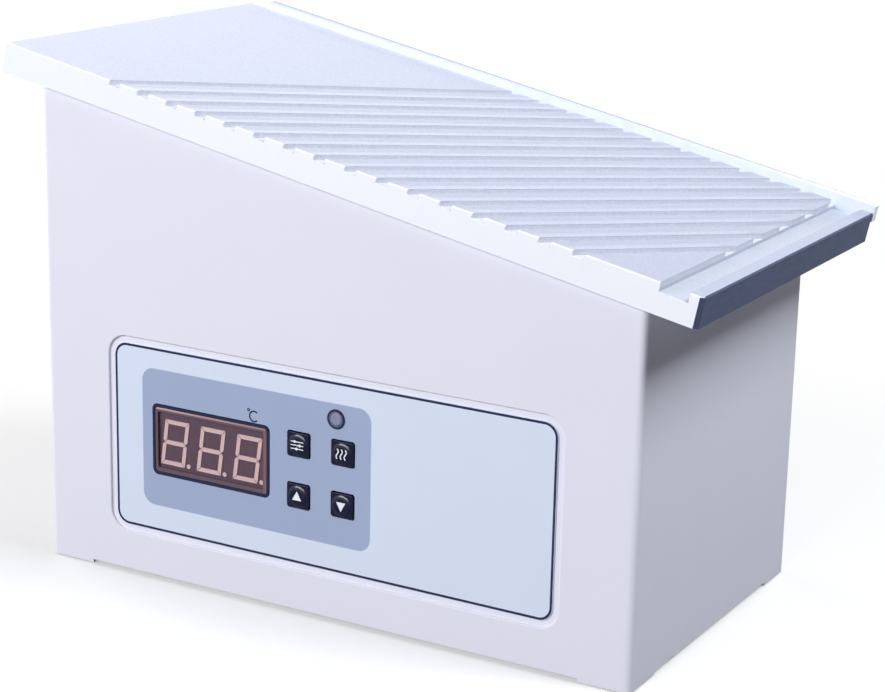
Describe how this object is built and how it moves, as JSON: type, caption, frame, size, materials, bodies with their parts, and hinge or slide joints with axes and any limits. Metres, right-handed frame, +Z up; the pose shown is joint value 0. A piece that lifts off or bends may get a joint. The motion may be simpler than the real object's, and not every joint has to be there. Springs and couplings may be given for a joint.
{
  "type": "paraffin trimmer",
  "caption": "Bench instrument with a heated, slanting grooved plate that melts surplus wax off cassettes, over a sheet metal housing with a display and keys.",
  "frame": {"origin": "on the table, under the middle of the bounding box", "axes": "+X towards the plate's low end, +Y towards the rear wall, +Z up"},
  "size_m": [0.2871, 0.1624, 0.2009],
  "materials": {
    "plate_aluminium": "bead blasted and clear anodised, satin",
    "rail_aluminium": "clear anodised, satin",
    "spreader_aluminium": "mill finish",
    "housing_paint": "white powder coat, fine texture",
    "zinc_sheet": "zinc plated sheet",
    "zinc_fastener": "zinc plated",
    "contact_brass": "nickel plated contact",
    "label_film": "printed polyester film, matt",
    "bezel_plastic": "dark blue black, semi gloss",
    "window_plastic": "smoked clear plastic",
    "module_plastic": "dark red brown epoxy",
    "segment_epoxy": "unlit diffusing epoxy",
    "lamp_epoxy": "unlit diffusing epoxy",
    "key_plastic": "glossy blue black",
    "black_plastic": "black moulding",
    "light_plastic": "light moulding",
    "terminal_plastic": "green moulding",
    "board_laminate": "green laminate",
    "foot_rubber": "black rubber",
    "seal_silicone": "red brown silicone",
    "insulation_fibre": "pressed fibre",
    "core_steel": "varnished laminations",
    "coil_tape": "yellow tape",
    "fuse_glass": "glass tube with metal caps",
    "heater_wire": "silicone insulated",
    "mains_wire": "brown insulation",
    "earth_wire": "green and yellow insulation",
    "signal_wire": "grey insulation"
  },
  "bodies": {
    "instrument": {"base_plate": "zinc_sheet", "base_screws": "zinc_fastener", "board_headers": "light_plastic", "board_screws": "zinc_fastener", "board_standoffs": "zinc_fastener", "control_board": "board_laminate", "controller_chip": "black_plastic", "cutout_screws": "zinc_fastener", "display_bezel": "bezel_plastic", "display_module": "module_plastic", "display_segments": "segment_epoxy", "display_window": "window_plastic", "earth_lead": "earth_wire", "fascia": "label_film", "heat_spreader": "spreader_aluminium", "heated_plate": "plate_aluminium", "heater_leads": "heater_wire", "heater_mat": "seal_silicone", "housing": "housing_paint", "indicator_lamp": "lamp_epoxy", "inlet_nuts": "zinc_fastener", "inlet_pins": "contact_brass", "inlet_screws": "zinc_fastener", "insulation_pad": "insulation_fibre", "insulation_tray": "zinc_sheet", "key_switches": "black_plastic", "lamp_ring": "bezel_plastic", "lead_grommet": "foot_rubber", "mains_inlet": "black_plastic", "mains_leads": "mains_wire", "plate_screws": "zinc_fastener", "plate_seal": "seal_silicone", "plate_washers": "zinc_fastener", "power_board": "board_laminate", "power_relay": "light_plastic", "power_standoffs": "zinc_fastener", "probe_gland": "zinc_fastener", "probe_lead": "signal_wire", "rail_screws": "zinc_fastener", "rear_rail": "rail_aluminium", "ribbon_cable": "signal_wire", "rubber_feet": "foot_rubber", "stud_nuts": "zinc_fastener", "switch_blades": "contact_brass", "switch_body": "black_plastic", "temperature_probe": "zinc_fastener", "terminal_block": "terminal_plastic", "thermal_cutout": "black_plastic", "transformer_coil": "coil_tape", "transformer_core": "core_steel", "transformer_frame": "zinc_sheet", "tray_screws": "zinc_fastener", "tray_spacers": "zinc_fastener"},
    "key_up": {"key_up": "key_plastic"},
    "key_down": {"key_down": "key_plastic"},
    "key_program": {"key_program": "key_plastic"},
    "key_heat": {"key_heat": "key_plastic"},
    "rocker": {"rocker": "black_plastic"},
    "fuse_drawer": {"fuse_drawer": "black_plastic", "fuse": "fuse_glass"}
  },
  "joints": [
    {"name": "key_up_press", "type": "slide", "parent": "instrument", "child": "key_up", "axis": [0, 1, 0], "range_m": [0, 0.0005], "stiffness_N_per_m": 1000},
    {"name": "key_down_press", "type": "slide", "parent": "instrument", "child": "key_down", "axis": [0, 1, 0], "range_m": [0, 0.0005], "stiffness_N_per_m": 1000},
    {"name": "key_program_press", "type": "slide", "parent": "instrument", "child": "key_program", "axis": [0, 1, 0], "range_m": [0, 0.0005], "stiffness_N_per_m": 1000},
    {"name": "key_heat_press", "type": "slide", "parent": "instrument", "child": "key_heat", "axis": [0, 1, 0], "range_m": [0, 0.0005], "stiffness_N_per_m": 1000},
    {"name": "rocker_tilt", "type": "hinge", "parent": "instrument", "child": "rocker", "pos_m": [0.03008, 0.0608, 0.0457], "axis": [1, 0, 0], "range_deg": [0, 20]},
    {"name": "fuse_drawer_slide", "type": "slide", "parent": "instrument", "child": "fuse_drawer", "axis": [0, 1, 0], "range_m": [0, 0.014]}
  ]
}
